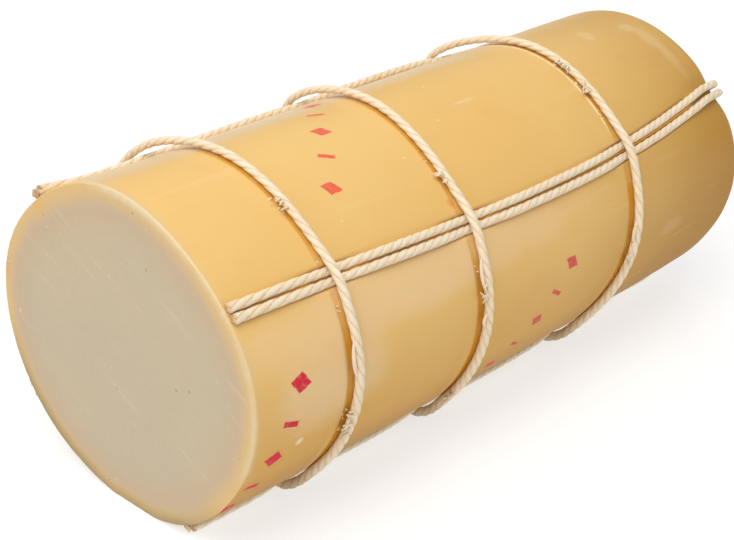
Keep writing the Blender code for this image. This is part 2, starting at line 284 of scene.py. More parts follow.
def endLine(first, second):
    # Where two pairs of twines come onto the rounded end
    return [surfacePoint(body["shoulder"], pairAngle(name, body["shoulder"]))[1:] for name in (first, second)]


def endPoints(first, second, side, over=None):
    start, finish = endLine(first, second)
    line = unit(finish - start)
    sideways = np.array((line[1], -line[0])) * side * twine["spread"][1]
    half = np.linalg.norm(finish - start) / 2
    points = []
    for step in range(1, twine["endPoints"]):
        turn = math.pi * step / twine["endPoints"]
        share = math.copysign(endScale(math.sin(turn)), turn - math.pi / 2)
        flat = (start + finish) / 2 + line * half * share + sideways
        here, outward = onRoundedEnd(*flat)
        rise = twine["riseEnd"]
        if over:
            crossed, away = unit(over[1] - over[0]), flat - over[0]
            distance = abs(away[0] * crossed[1] - away[1] * crossed[0])
            flatTo = twine["crossingFlat"]
            near = 1 - smoothStep(flatTo, flatTo + twine["crossingFall"], distance)
            rise += (2 * twine["pair"] + twine["gap"] + twine["slack"]) * near
        points.append(here + outward * rise)
    return points


def smoothRoute(points, closed, step):
    # A curve through the points, then even steps along it
    points = np.array(points)
    count = len(points)
    fine = []
    for index in range(count if closed else count - 1):
        nearby = np.arange(index - 1, index + 3)
        a, b, c, d = points[nearby % count if closed else nearby.clip(0, count - 1)]
        t1, t2, t3 = np.cumsum([max(np.linalg.norm(v - u), 1e-6) ** 0.5 for u, v in ((a, b), (b, c), (c, d))])
        for t in np.linspace(t1, t2, 12, endpoint=False):
            ab = (a * (t1 - t) + b * t) / t1
            bc = (b * (t2 - t) + c * (t - t1)) / (t2 - t1)
            cd = (c * (t3 - t) + d * (t - t2)) / (t3 - t2)
            abc = (ab * (t2 - t) + bc * t) / t2
            bcd = (bc * (t3 - t) + cd * (t - t1)) / (t3 - t1)
            fine.append((abc * (t2 - t) + bcd * (t - t1)) / (t2 - t1))
    fine.append(points[0] if closed else points[-1])
    fine = np.array(fine)
    lengths = np.concatenate([[0.0], np.cumsum(np.linalg.norm(np.diff(fine, axis=0), axis=1))])
    count = round(lengths[-1] / step)
    wanted = np.linspace(0, lengths[-1], count + 1)[:count if closed else count + 1]
    return np.stack([np.interp(wanted, lengths, fine[:, axis]) for axis in range(3)], -1)


# Where it all stands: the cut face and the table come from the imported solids
hoopAngles = np.arange(hoops["points"]) * fullTurn / hoops["points"]
hoopCentres = [place(hoopStation(hoop, hoopAngles), hoopAngles, hoopRadius(hoop, hoopAngles))
               for hoop in range(3)]
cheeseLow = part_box("cheese")[0]
hoopLow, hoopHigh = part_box("twine_hoop_1")
sideways = (hoopLow.y + hoopHigh.y) / 2 - (hoopCentres[0][:, 1].min() + hoopCentres[0][:, 1].max()) / 2
shift = np.array((cheeseLow.x, sideways, cheeseLow.z))


# Materials. A Wire is one socket of a material's nodes, and sums with it add Math nodes.
def mathNode(operation, reflected=False):
    def work(wire, *others):
        values = (*others, wire) if reflected else (wire, *others)
        return wire.finish.node("ShaderNodeMath", {"operation": operation}, dict(enumerate(values)))
    return work


class Wire:
    def __init__(self, finish, socket):
        self.finish, self.socket = finish, socket

    __add__, __radd__ = mathNode("ADD"), mathNode("ADD")
    __sub__, __rsub__ = mathNode("SUBTRACT"), mathNode("SUBTRACT", reflected=True)
    __mul__, __rmul__ = mathNode("MULTIPLY"), mathNode("MULTIPLY")
    __truediv__, __rtruediv__ = mathNode("DIVIDE"), mathNode("DIVIDE", reflected=True)
    __abs__ = mathNode("ABSOLUTE")
    floor, pingPong, least = mathNode("FLOOR"), mathNode("PINGPONG"), mathNode("MINIMUM")
    above, below, arcTangent = mathNode("GREATER_THAN"), mathNode("LESS_THAN"), mathNode("ARCTAN2")

    def ramp(self, low, high):
        # 0 at low, 1 at high, smooth in between
        settings = {"interpolation_type": "SMOOTHSTEP"}
        return self.finish.node("ShaderNodeMapRange", settings, {0: self, 1: low, 2: high, 3: 0.0, 4: 1.0})


class Finish:
    def __init__(self, name):
        self.material = bpy.data.materials.new(name)
        self.material.use_nodes = True
        self.tree = self.material.node_tree
        self.shader = self.tree.nodes["Principled BSDF"]

    def node(self, kind, settings=None, inputs=None, output=0):
        node = self.tree.nodes.new(kind)
        for key, value in (settings or {}).items():
            setattr(node, key, value)
        for key, value in (inputs or {}).items():
            self.join(value, node.inputs[key])
        return Wire(self, node.outputs[output])

    def join(self, value, socket):
        if isinstance(value, Wire):
            self.tree.links.new(value.socket, socket)
        elif isinstance(value, tuple) and socket.type == "RGBA":
            socket.default_value = (*value, 1.0)
        else:
            socket.default_value = value

    def position(self, kind="Object"):
        return self.node("ShaderNodeTexCoord", output=kind)

    def axes(self, where):
        split = self.node("ShaderNodeSeparateXYZ", {}, {0: where}).socket.node
        return [Wire(self, socket) for socket in split.outputs]

    def vector(self, x, y, z):
        return self.node("ShaderNodeCombineXYZ", {}, {0: x, 1: y, 2: z})

    def read(self, name, output="Fac"):
        # What the mesh holds at each point
        return self.node("ShaderNodeAttribute", {"attribute_name": name}, output=output)

    def colour(self, share, first, second, blend="MIX"):
        settings = {"data_type": "RGBA", "blend_type": blend, "clamp_factor": True}
        return self.node("ShaderNodeMix", settings, {0: share, 6: first, 7: second}, 2)

    def layers(self, colour, look, blend="MIX", **shares):
        # One colour laid over another: look has the colour and strength of each share
        for name, share in shares.items():
            shade, strength = look[name]
            colour = self.colour(share * strength, colour, shade, blend)
        return colour

    def stretched(self, where, scale):
        return self.node("ShaderNodeMapping", {"vector_type": "POINT"}, {"Vector": where, "Scale": scale})

    def cloud(self, where, scale, detail=2.0, rough=0.5):
        inputs = {"Vector": where, "Scale": scale, "Detail": detail, "Roughness": rough}
        return self.node("ShaderNodeTexNoise", {}, inputs)

    def dots(self, where, scale, size, channel, kept):
        # Soft dots, one to a cell, in the cells whose own number is above kept
        inputs = {"Vector": where, "Scale": scale}
        distance, own = (self.node("ShaderNodeTexVoronoi", {"feature": "F1"}, inputs, output)
                         for output in ("Distance", "Color"))
        own = self.node("ShaderNodeSeparateColor", {}, {0: own}, channel)
        return (1.0 - distance.ramp(*size)) * own.above(kept)

    def relief(self, *bumps):
        # Bumps one on another, each with its height, how deep in metres and how strong
        normal = {}
        for height, distance, strength in bumps:
            inputs = {"Height": height, "Distance": distance, "Strength": strength, **normal}
            normal = {"Normal": self.node("ShaderNodeBump", {}, inputs)}
        return normal["Normal"]

    def set(self, values):
        for key, value in values.items():
            self.join(value, self.shader.inputs[key])


class Sky(Finish):
    def __init__(self, name):
        world = bpy.data.worlds.new(name)
        world.use_nodes = True
        bpy.context.scene.world = world
        self.tree = world.node_tree
        self.shader = self.tree.nodes["Background"]


def spotShare(axes, middle, reach, rough, ends):
    # 1 in the middle of a round mark with an uneven edge, 0 outside it
    away = 0.0
    for axis, centre, size in zip(axes, middle, reach):
        offset = (axis - centre) / size
        away = away + offset * offset
    return 1.0 - (away + rough).ramp(*ends)


def addMesh(name, points, faces, finishes, numbers=None, vectors=None, smooth=True):
    mesh = bpy.data.meshes.new(name)
    mesh.from_pydata([tuple(point) for point in points], [], faces)
    if smooth:
        mesh.shade_smooth()
    for key, values in (numbers or {}).items():
        mesh.attributes.new(key, "FLOAT", "POINT").data.foreach_set("value", np.asarray(values, np.float32))
    for key, values in (vectors or {}).items():
        layer = mesh.attributes.new(key, "FLOAT_VECTOR", "POINT")
        layer.data.foreach_set("vector", np.asarray(values, np.float32).ravel())
    for finish in finishes:
        mesh.materials.append(finish.material)
    piece = bpy.data.objects.new(name, mesh)
    bpy.context.scene.collection.objects.link(piece)
    return piece


# The rind
cream, peach = (0.86, 0.74, 0.50), (0.80, 0.60, 0.38)

rindLook = {
    "amber": (0.745, 0.450, 0.135), "pale": (0.80, 0.555, 0.215),
    # colour and strength of each layer over them
    # the low, far and bottom colours are painted shade: the rind darker low down, towards the far end and at
    # the very bottom
    "low": ((0.58, 0.290, 0.030), 0.80), "far": ((0.39, 0.176, 0.004), 0.88),
    "bottom": ((0.37, 0.195, 0.055), 0.80), "bloom": ((0.70, 0.51, 0.285), 1.0),
    # the trough, between and groove colours are painted shade by the twines; the lip colour is a painted
    # highlight on the groove's lip
    "mottle": ((0.94, 0.87, 0.75), 0.20), "creases": (cream, 0.08), "trough": ((0.66, 0.34, 0.050), 0.22),
    "between": ((0.94, 0.44, 0.045), 0.95), "lip": (peach, 0.30), "groove": ((0.62, 0.270, 0.008), 1.0),
    # the burr's pale colour is partly the knife's rough edge and partly a painted highlight along the rim
    "peel": (cream, 0.80), "specks": (cream, 0.50), "burr": ((0.64, 0.54, 0.36), 0.8),
    # where the painted reflection lies: a pale sheen high on the back
    "bloomAngle": math.radians(-12.0),
    "axis": (float(shift[1]), 0.0785), "girth": 0.0875,       # for the angle that a point lies at
    "roughness": (0.34, 0.46), "coat": (0.03, 0.34),
    "shader": {"Coat Roughness": 0.32, "Specular IOR Level": 0.14, "Subsurface Weight": 0.12,
               "Subsurface Radius": (1.0, 0.55, 0.22), "Subsurface Scale": 0.006},
}

# Rows of plain ink marks: first mark (x, angle), step along (x, arc), how many, size, colour, ink left
inkRows = (
    {"first": (-0.1639, 80.4), "step": (-0.0059, 0.0177), "count": 5, "size": (0.0052, 0.0066),
     "ink": (0.64, 0.006, 0.034), "left": 1.0},
    {"first": (-0.1045, 33.8), "step": (0.0120, -0.0170), "count": 5, "size": (0.0045, 0.0060),
     "ink": (0.76, 0.050, 0.045), "left": 0.86},
    {"first": (0.0149, 86.2), "step": (-0.0092, 0.0134), "count": 5, "size": (0.0040, 0.0060),
     "ink": (0.62, 0.035, 0.045), "left": 0.90},
)
inkBar = (0.33, 0.80, 0.6)      # width and height against a lozenge, and how solid
inkEdge = (0.35, 0.02, 0.16)    # how uneven the edge of a mark is, and from where to where it fades

# Marks on the rind: middle, reach along x, y and z, strength, colour
rindSpots = (
    # the first two cream marks are painted highlights on the top towards the far end; the two peach marks below
    # the front pair are painted reflection
    ((0.1139, -0.0135, 0.1546), (0.0042, 0.0062, 0.02), 0.20, "cream"),
    ((0.1424, -0.0171, 0.1527), (0.0045, 0.0045, 0.02), 0.20, "cream"),
    ((-0.1622, -0.0836, 0.0618), (0.0026, 0.0040, 0.0022), 0.70, "cream"),
    ((0.1467, -0.0370, 0.1440), (0.0050, 0.0260, 0.02), 0.16, "cream"),
    ((0.1017, -0.0850, 0.0720), (0.0110, 0.0200, 0.0050), 0.10, "cream"),
    ((0.0012, -0.0292, 0.1552), (0.0095, 0.0010, 0.02), 0.26, "cream"),
    ((-0.0521, -0.0693, 0.1307), (0.0024, 0.0018, 0.02), 0.50, "stain"),
    ((-0.1450, -0.0830, 0.0860), (0.0360, 0.0300, 0.0240), 0.50, "peach"),
    ((-0.0850, -0.0830, 0.1120), (0.1350, 0.0300, 0.0160), 0.44, "peach"),
)
# colour of each kind, and how uneven its edge is
spotKinds = {"cream": (cream, 2.4), "peach": (peach, 0.8), "stain": ((0.72, 0.24, 0.05), 2.4)}


def inkMask(x, arc, row, uneven):
    # Lozenges and short bars in turn along a slanting row
    startX, startArc = row["first"][0], math.radians(row["first"][1]) * rindLook["girth"]
    pitch = math.hypot(*row["step"])
    alongX, alongArc = (step / pitch for step in row["step"])
    dx, da = x - startX, arc - startArc
    along = dx * alongX + da * alongArc
    over = abs(dx * alongArc - da * alongX)
    number = (along / pitch + 0.5).floor()
    local = abs(along - number * pitch)
    width, height = row["size"]
    narrower, shorter, solidity = inkBar
    ragged, fadeFrom, fadeTo = inkEdge
    lozenge = 1.0 - local / width - over / height
    bar = (1.0 - local / (width * narrower)).least(1.0 - over / (height * shorter))
    odd = number.pingPong(1.0)
    shape = lozenge * (1.0 - odd) + bar * odd * solidity
    solid = (shape + (uneven - 0.5) * ragged).ramp(fadeFrom, fadeTo)
    inRow = number.above(-0.5) * number.below(row["count"] - 0.5)
    thin = (uneven - 0.2).ramp(-0.05, 0.35) * 0.30 + 0.70
    return solid * inRow * thin * row["left"]


def makeRind():
    f = Finish("cheese_rind")
    where = f.position()
    x, y, z = f.axes(where)
    angle = (rindLook["axis"][0] - y).arcTangent(z - rindLook["axis"][1])

    broad = f.cloud(where, 9.0, 3.0)
    patchy = f.cloud(where, 45.0, 3.0, 0.55)
    lengthwise = f.cloud(f.stretched(where, (9.0, 130.0, 130.0)), 1.0, 3.0, 0.6)
    uneven = f.cloud(where, 420.0, 3.0, 0.6)
    fine = f.cloud(where, 900.0, 2.0, 0.6)
    # painted shade: darker towards the far end, low down and at the very bottom
    far = (x - z * 0.4).ramp(-0.035, 0.150) * (1.0 - z.ramp(0.10, 0.165) * 0.50)
    low = 1.0 - (z + (broad - 0.5) * 0.02).ramp(0.020, 0.120)
    bottom = 1.0 - (z + (broad - 0.5) * 0.01).ramp(0.010, 0.060)
    # a painted reflection high on the back: a pale sheen band, which ends before the third hoop
    bloom = (1.0 - abs(angle - rindLook["bloomAngle"]).ramp(0.03, 0.20)) * (1.0 - x.ramp(0.055, 0.100))

    colour = f.colour((broad - 0.5) * 0.9 + 0.35, rindLook["amber"], rindLook["pale"])
    colour = f.layers(colour, rindLook, low=low, far=far, bottom=bottom, bloom=bloom * (patchy * 0.6 + 0.56))
    colour = f.layers(colour, rindLook, "MULTIPLY", mottle=(patchy - 0.5).ramp(0.0, 0.25))
    colour = f.layers(colour, rindLook, creases=(lengthwise - 0.62).ramp(0.0, 0.10))
    raised = 0.0
    for middle, reach, strength, kind in rindSpots:
        shade, edge = spotKinds[kind]
        spot = spotShare((x, y, z), middle, reach, (patchy - 0.5) * edge, (0.0, 1.2)) * strength
        colour = f.colour(spot, colour, shade)
        if kind == "cream":
            raised = raised + spot

    # what the twines and the knife have left; the trough, between and groove colours are painted shade, the
    # lip's colour a painted highlight, and the burr's paleness partly a painted highlight
    groove = f.read("groove") * ((patchy - 0.5) * 1.2 + 0.85)
    peel = f.read("peel") * ((f.cloud(where, 230.0) - 0.5) * 1.6 + 0.9)
    specks = f.dots(where, 55.0, (0.025, 0.055), 0, 0.55)
    colour = f.layers(colour, rindLook, trough=f.read("trough"), between=f.read("between"), lip=f.read("lip"),
                      groove=groove, peel=peel.ramp(0.20, 0.75), specks=specks, burr=f.read("burr"))
    for row in inkRows:
        colour = f.colour(inkMask(x, angle * rindLook["girth"], row, uneven), colour, row["ink"])

    smooth, matt = rindLook["roughness"]
    rough = (patchy * 0.6 + lengthwise * 0.4) * (matt - smooth) * 1.6 + (smooth - 0.02)
    dull, waxed = rindLook["coat"]
    f.set({"Base Color": colour, "Roughness": rough + (1.0 - z.ramp(0.03, 0.11)) * 0.16,
           "Coat Weight": z.ramp(0.055, 0.130) * (waxed - dull) + dull,
           "Normal": f.relief((lengthwise * 0.5 + patchy * 0.7, 0.0006, 0.35), (fine, 0.00008, 0.35),
                              (specks + raised * 0.5, 0.0003, 0.4)), **rindLook["shader"]})
    return f


# The knife-cut face
curd = (0.78, 0.72, 0.58)

cutLook = {
    "ivory": (0.503, 0.402, 0.258), "cool": (0.482, 0.397, 0.268),
    # colour and strength of each layer over them
    "grain": ((0.94, 0.91, 0.87), 0.18), "tan": ((0.508, 0.365, 0.225), 0.85), "streaks": (curd, 0.16),
    # the under colour is painted shade, darker by the rim low on the face
    "fineStreaks": (curd, 0.05), "yellow": ((0.66, 0.430, 0.160), 0.90), "under": ((0.28, 0.20, 0.072), 0.85),
    # the burr's pale colour is partly the knife's rough edge and partly a painted highlight along the rim
    "pits": ((0.25, 0.17, 0.09), 0.45), "flakes": (curd, 0.38), "burr": ((0.66, 0.565, 0.37), 0.85),
    "tanBand": (0.006, 0.026), "yellowBand": (0.0005, 0.0100),      # full, and gone, this far from the rim
    "knife": math.radians(27.0),       # slope of the knife's streaks on the face
    "shader": {"Subsurface Weight": 0.12, "Subsurface Radius": (1.0, 0.75, 0.45), "Subsurface Scale": 0.005},
}

# Marks on the cut face: (y, z) of the middle, reach, strength, colour
cutSpots = (
    ((0.0868, 0.1020), (0.0030, 0.0150), 0.55, (0.66, 0.29, 0.14)),
    ((0.0555, 0.1385), (0.0075, 0.0060), 0.60, (0.66, 0.38, 0.10)),
    ((0.0805, 0.0745), (0.0012, 0.0016), 0.60, (0.76, 0.52, 0.40)),
    ((-0.0300, 0.0180), (0.0260, 0.0100), 0.35, (0.52, 0.38, 0.22)),
)


def makeCutFace():
    f = Finish("cheese_cut_face")
    where = f.position()
    _, y, z = f.axes(where)
    broad = f.cloud(where, 14.0)
    middling = f.cloud(where, 60.0)
    grain = f.cloud(where, 260.0, 3.0, 0.6)
    powder = f.cloud(where, 1500.0, 2.0, 0.6)

    cosine, sine = math.cos(cutLook["knife"]), math.sin(cutLook["knife"])
    along = y * -cosine - z * sine
    across = y * -sine + z * cosine
    streaks = f.cloud(f.vector(along * 16.0, across * 130.0, 0.0), 1.0, 3.0, 0.6)
    fineStreaks = f.cloud(f.vector(along * 14.0, across * 480.0, 3.0), 1.0, 2.0, 0.6)

    edge = f.read("fromRim") + (broad - 0.5) * 0.006 + (middling - 0.5) * 0.002
    # painted shade: darker olive by the rim low on the face
    under = (1.0 - edge.ramp(-0.002, 0.0085)) * (1.0 - (z - y * 0.25).ramp(0.012, 0.055))
    colour = f.colour(broad.ramp(0.35, 0.65), cutLook["ivory"], cutLook["cool"])
    colour = f.layers(colour, cutLook, "MULTIPLY", grain=grain.ramp(0.40, 0.70))
    colour = f.layers(colour, cutLook, tan=1.0 - edge.ramp(*cutLook["tanBand"]),
                      streaks=(streaks - 0.58).ramp(0.0, 0.16) * (middling * 2.0 - 0.35),
                      fineStreaks=(fineStreaks - 0.58).ramp(0.0, 0.2),
                      yellow=1.0 - edge.ramp(*cutLook["yellowBand"]), under=under)
    for middle, reach, strength, shade in cutSpots:
        spot = spotShare((y, z), middle, reach, (middling - 0.5) * 1.2, (0.1, 1.1))
        colour = f.colour(spot * strength, colour, shade)

    flat = f.vector(y, z, 0.0)
    pits = f.dots(flat, 95.0, (0.03, 0.100), 1, 0.30) * (middling * 2.0 - 0.3)
    flakes = f.dots(flat, 130.0, (0.04, 0.11), 2, 0.86)
    colour = f.layers(colour, cutLook, pits=pits, flakes=flakes, burr=f.read("burr"))
    relief = f.relief((streaks * 0.7 + fineStreaks * 0.3, 0.00016, 0.22), (flakes - pits * 1.5, 0.0004, 0.5),
                      (powder * 0.5 + grain * 0.5, 0.00010, 0.30))
    f.set({"Base Color": colour, "Roughness": grain * 0.16 + 0.46, "Normal": relief, **cutLook["shader"]})
    return f


# The cheese itself, a finer mesh of the same form
cheeseForm = {
    "press": 0.0003,           # how far the twines sink into the surface
    "groove": (0.0003, 0.0010), "lip": 0.0003, "trough": 0.0010, "faceIn": 0.0002,
    # bed of a lengthwise twine: how gently it starts and ends, from what share of the twine's radius its depth
    # and its painted shade fade, and how deep it has to lie for the full painted shade
    "bed": {"start": 0.0015, "end": 0.030, "deep": 0.72, "coloured": 0.60, "touch": 0.0006},
    # how near a hoop starts to touch, and from there until it touches fully; how much of the groove's painted
    # shade shows where it bridges clear; how low down the lip and its painted highlight appear; how much of the
    # groove the pale ridge covers
    "hoopTouch": (0.0004, 0.0008), "untouched": 0.35, "lipBelow": (-0.2, 0.9), "peelOver": 0.6,
    # ridge squeezed up between a pair: below the twines' middle, most, width, width of the painted shade along
    # it
    "between": (-0.0003, 0.0021, 0.0005, 0.0012),
    # beside a hoop: distance, share of the lip, the groove and the hoop's bed
    "besideHoop": ((-0.0120, 0.0, 0.0, 0.0), (-0.0090, 1.0, 0.0, 0.0), (-0.0068, 0.4, 0.06, 0.0),
                   (-0.0052, 0.0, 0.50, 0.1), (-0.0036, 0.0, 1.0, 0.7), (0.0, 0.0, 0.5, 1.0),
                   (0.0024, 0.0, 0.0, 0.95), (0.0034, 0.0, 0.0, 0.0), (0.0070, 0.0, 0.0, 0.0)),
    "narrow": (0.62, 0.95, 0.75, 1.40),    # width of the groove: high up, low down, and the angles between
    # painted shade in amber out to here beside a hoop, high up and low down, and on its other side
    "grooveLine": ((0.0029, 0.0038), (0.0034, 0.0056)), "grooveBehind": 0.0018,
    "peel": (2, 14.0, 44.0, -0.0041, 0.0008),      # pale ridge: hoop, angle, half angle, place, half width
    "ridge": 0.0004, "lumps": 0.00022,
    # rough edge that the knife left: height, middle angle, half angles, where strongest, reach in and along,
    # how much of it there is: everywhere, at the strongest place, by chance
    "burr": 0.00040, "burrAngles": (50.0, 52.0, 66.0), "burrTop": (-38.0, 16.0), "burrReach": (0.0017, 0.0023),
    "burrShares": (0.55, 0.40, 0.6), "burrRise": (0.3, 0.8),        # out from the face, up on the worn edge
    "wornEdge": (0.0013, 0.35),     # its size, and how much that varies
    # rows of the mesh by the cut (from, to, how many), from here to here at a hoop, and how they follow it
    "firstRows": (0.0010, 0.0045, 8), "besideRows": (-0.0105, 0.0075), "rowReach": 0.009, "straightRows": 0.006,
    "rowStep": 0.0021, "hoopRowStep": 0.00062, "endRows": 34, "faceRings": 30,
    "pairReach": 9.0, "pairColumns": 33, "columnsBetween": 40,
}


def cheeseSurface(station, angle):
    # Radius, and how much a point shows of each mark by the twines: painted shade in the trough, between a pair
    # and in the groove, a painted highlight on the lip, and the pale ridge
    free = bareRadius(station, angle)
    bare = np.minimum(free, tableLimit(station, angle))
    depth, squeezed = np.zeros_like(bare), np.zeros_like(bare)
    marks = {key: np.zeros_like(bare) for key in ("groove", "lip", "trough", "between", "peel")}

    def mark(key, share):
        marks[key] = np.maximum(marks[key], share)

    # the lengthwise twines
    bed = cheeseForm["bed"]
    radius, reach = twine["pair"], twine["pair"] + cheeseForm["trough"]
    started = smoothStep(twine["start"] - bed["start"], twine["start"] + bed["start"], station)
    ended = smoothStep(body["shoulder"] - bed["end"], body["shoulder"], station)
    below, most, ridgeWidth, lineWidth = cheeseForm["between"]
    for name, side in twineDips:
        offset = np.abs(angleBetween(angle, twineAngle(name, side, station))) * bare
        rise = twineRise(name, side, station)
        floor = free + rise - radius + cheeseForm["press"]
        sunk = (bare - floor) * (1 - smoothStep(radius * bed["deep"], reach, offset))
        depth = np.maximum(depth, sunk * started)
        held = np.clip((bare - floor) / bed["touch"], 0, 1) * started
        mark("trough", (1 - smoothStep(radius * bed["coloured"], reach, offset)) * held)
        middle = np.abs(angleBetween(angle, pairAngle(name, station))) * bare
        mark("between", bell(middle, lineWidth) * held * (station < body["shoulder"]))
        ridge = np.clip(rise - below, 0, most) * held * (1 - ended)
        squeezed = np.maximum(squeezed, ridge * bell(middle, ridgeWidth))
    depth = np.where(squeezed > 0.0001, np.minimum(depth, -squeezed), depth)

    # the hoops
    distances, *shares = zip(*cheeseForm["besideHoop"])
    high, low, fromAngle, toAngle = cheeseForm["narrow"]
    down = smoothStep(fromAngle, toAngle, np.abs(angleBetween(angle, 0.0)))
    wide = high + (low - high) * down
    lineFrom, lineTo = (above + (beneath - above) * down for above, beneath in zip(*cheeseForm["grooveLine"]))
    shallow, deep = cheeseForm["groove"]
    clear, touch = cheeseForm["hoopTouch"]
    untouched = cheeseForm["untouched"]
    for hoop in range(3):
        plain = station - hoopStation(hoop, angle)
        distance = np.where(plain < 0, plain / wide, plain)
        lip, groove, under = (smoothStep(0, 1, np.interp(distance, distances, share)) for share in shares)
        floor = hoopRadius(hoop, angle, twine["hoop"] - cheeseForm["press"])
        held = np.clip((bare + clear - floor) / touch, 0, 1)
        grooved = (shallow + (deep - shallow) * down) * groove
        depth = np.maximum(depth, np.maximum(grooved, (bare - floor) * under))
        line = 1 - smoothStep(0, 1, (-plain - lineFrom) / (lineTo - lineFrom))
        mark("groove", line * (plain < cheeseForm["grooveBehind"]) * (untouched + (1 - untouched) * held))
        mark("trough", under * held)
        mark("lip", lip * smoothStep(*cheeseForm["lipBelow"], -np.cos(angle)))
        peeled, centre, halfAngle, peelAt, peelWidth = cheeseForm["peel"]
        if peeled == hoop:
            away = np.abs(np.degrees(angleBetween(angle, math.radians(centre)))) / halfAngle
            mark("peel", bell(plain - peelAt, peelWidth) * (1 - smoothStep(0.7, 1.0, away)))
    marks["groove"] = marks["groove"] * (1 - cheeseForm["peelOver"] * marks["peel"])
    depth = depth - cheeseForm["lip"] * marks["lip"] - cheeseForm["ridge"] * marks["peel"]
    return np.minimum(bare - depth, tableLimit(station, angle)), marks


def columnAngles(station):
    # Close together at the twines, even in between
    names = list(pairCurves)
    reach = math.radians(cheeseForm["pairReach"])
    near = np.linspace(-1, 1, cheeseForm["pairColumns"])
    near = reach * np.sign(near) * np.abs(near) ** 1.5
    between = np.arange(1, cheeseForm["columnsBetween"] + 1) / (cheeseForm["columnsBetween"] + 1)
    angles = []
    for name, following in zip(names, names[1:] + names[:1]):
        here = pairAngle(name, station)
        gap = (pairAngle(following, station) - here) % fullTurn
        angles += [here + near, here + reach + (gap - 2 * reach) * between]
    return np.concatenate(angles)


def rowStations():
    # Close together at the cut and the hoops
    stations = list(np.linspace(*cheeseForm["firstRows"]))
    before, behind = cheeseForm["besideRows"]
    starts = [stations[-1]] + [middle + behind for middle in hoopMiddles]
    ends = [middle + before for middle in hoopMiddles] + [body["shoulder"]]
    for start, end in zip(starts, ends):
        stations += list(np.arange(start, end, cheeseForm["rowStep"])[1:])
    for middle in hoopMiddles:
        stations += list(np.arange(middle + before, middle + behind, cheeseForm["hoopRowStep"]))
    stations.append(body["shoulder"])
    turns = np.sin(math.pi / 2 * np.arange(1, cheeseForm["endRows"]) / cheeseForm["endRows"])
    return np.array(sorted(stations) + list(body["shoulder"] + (body["length"] - body["shoulder"]) * turns))


def lumpy(points, scale, seed):
    return np.array([noise.noise(Vector(point) * scale + Vector((seed, 0, 0))) for point in points])


